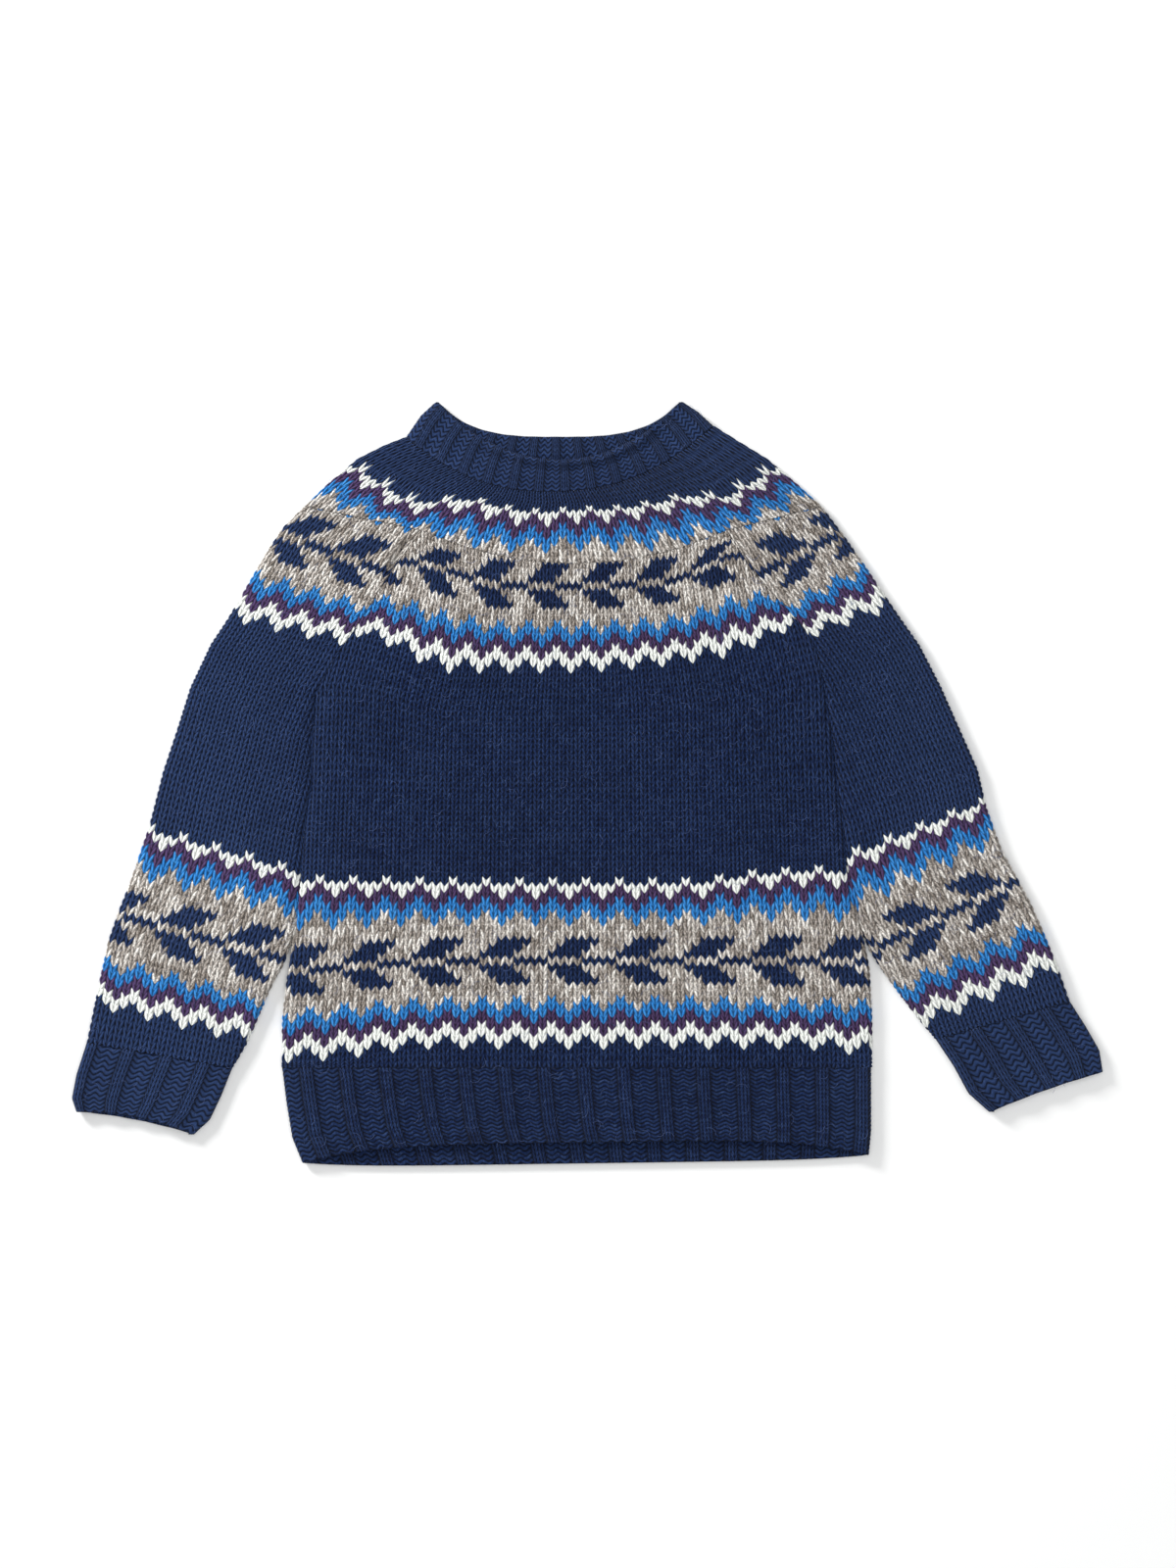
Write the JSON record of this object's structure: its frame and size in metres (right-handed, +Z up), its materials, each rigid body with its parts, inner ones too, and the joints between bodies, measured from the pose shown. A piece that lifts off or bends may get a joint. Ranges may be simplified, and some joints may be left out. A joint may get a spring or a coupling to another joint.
{
  "type": "fair isle jumper",
  "caption": "Hand-knitted yoke jumper laid flat: thick double-layer wool body, two sleeves, patterned yoke, ribbed neckband, hem and cuffs.",
  "frame": {"origin": "middle of the outline on the surface that the jumper lies on", "axes": "+X to the viewer's right across the sleeves, +Y from hem to neck, +Z up off the surface, with the front upward"},
  "size_m": [0.9046, 0.6702, 0.0092],
  "materials": {
    "panel_wool": "stranded wool stocking stitch, fuzzy, navy with oatmeal, cobalt, plum and off-white bands",
    "yoke_wool": "stranded wool stocking stitch, navy above off-white, plum and cobalt zigzags",
    "rib_wool": "navy wool in two by two rib"
  },
  "bodies": {
    "root": {"front": "panel_wool", "back": "panel_wool", "left_sleeve": "panel_wool", "right_sleeve": "panel_wool", "yoke_ring": "yoke_wool", "neckband": "rib_wool", "hem_rib_front": "rib_wool", "hem_rib_back": "rib_wool", "left_cuff": "rib_wool", "right_cuff": "rib_wool"}
  },
  "joints": []
}
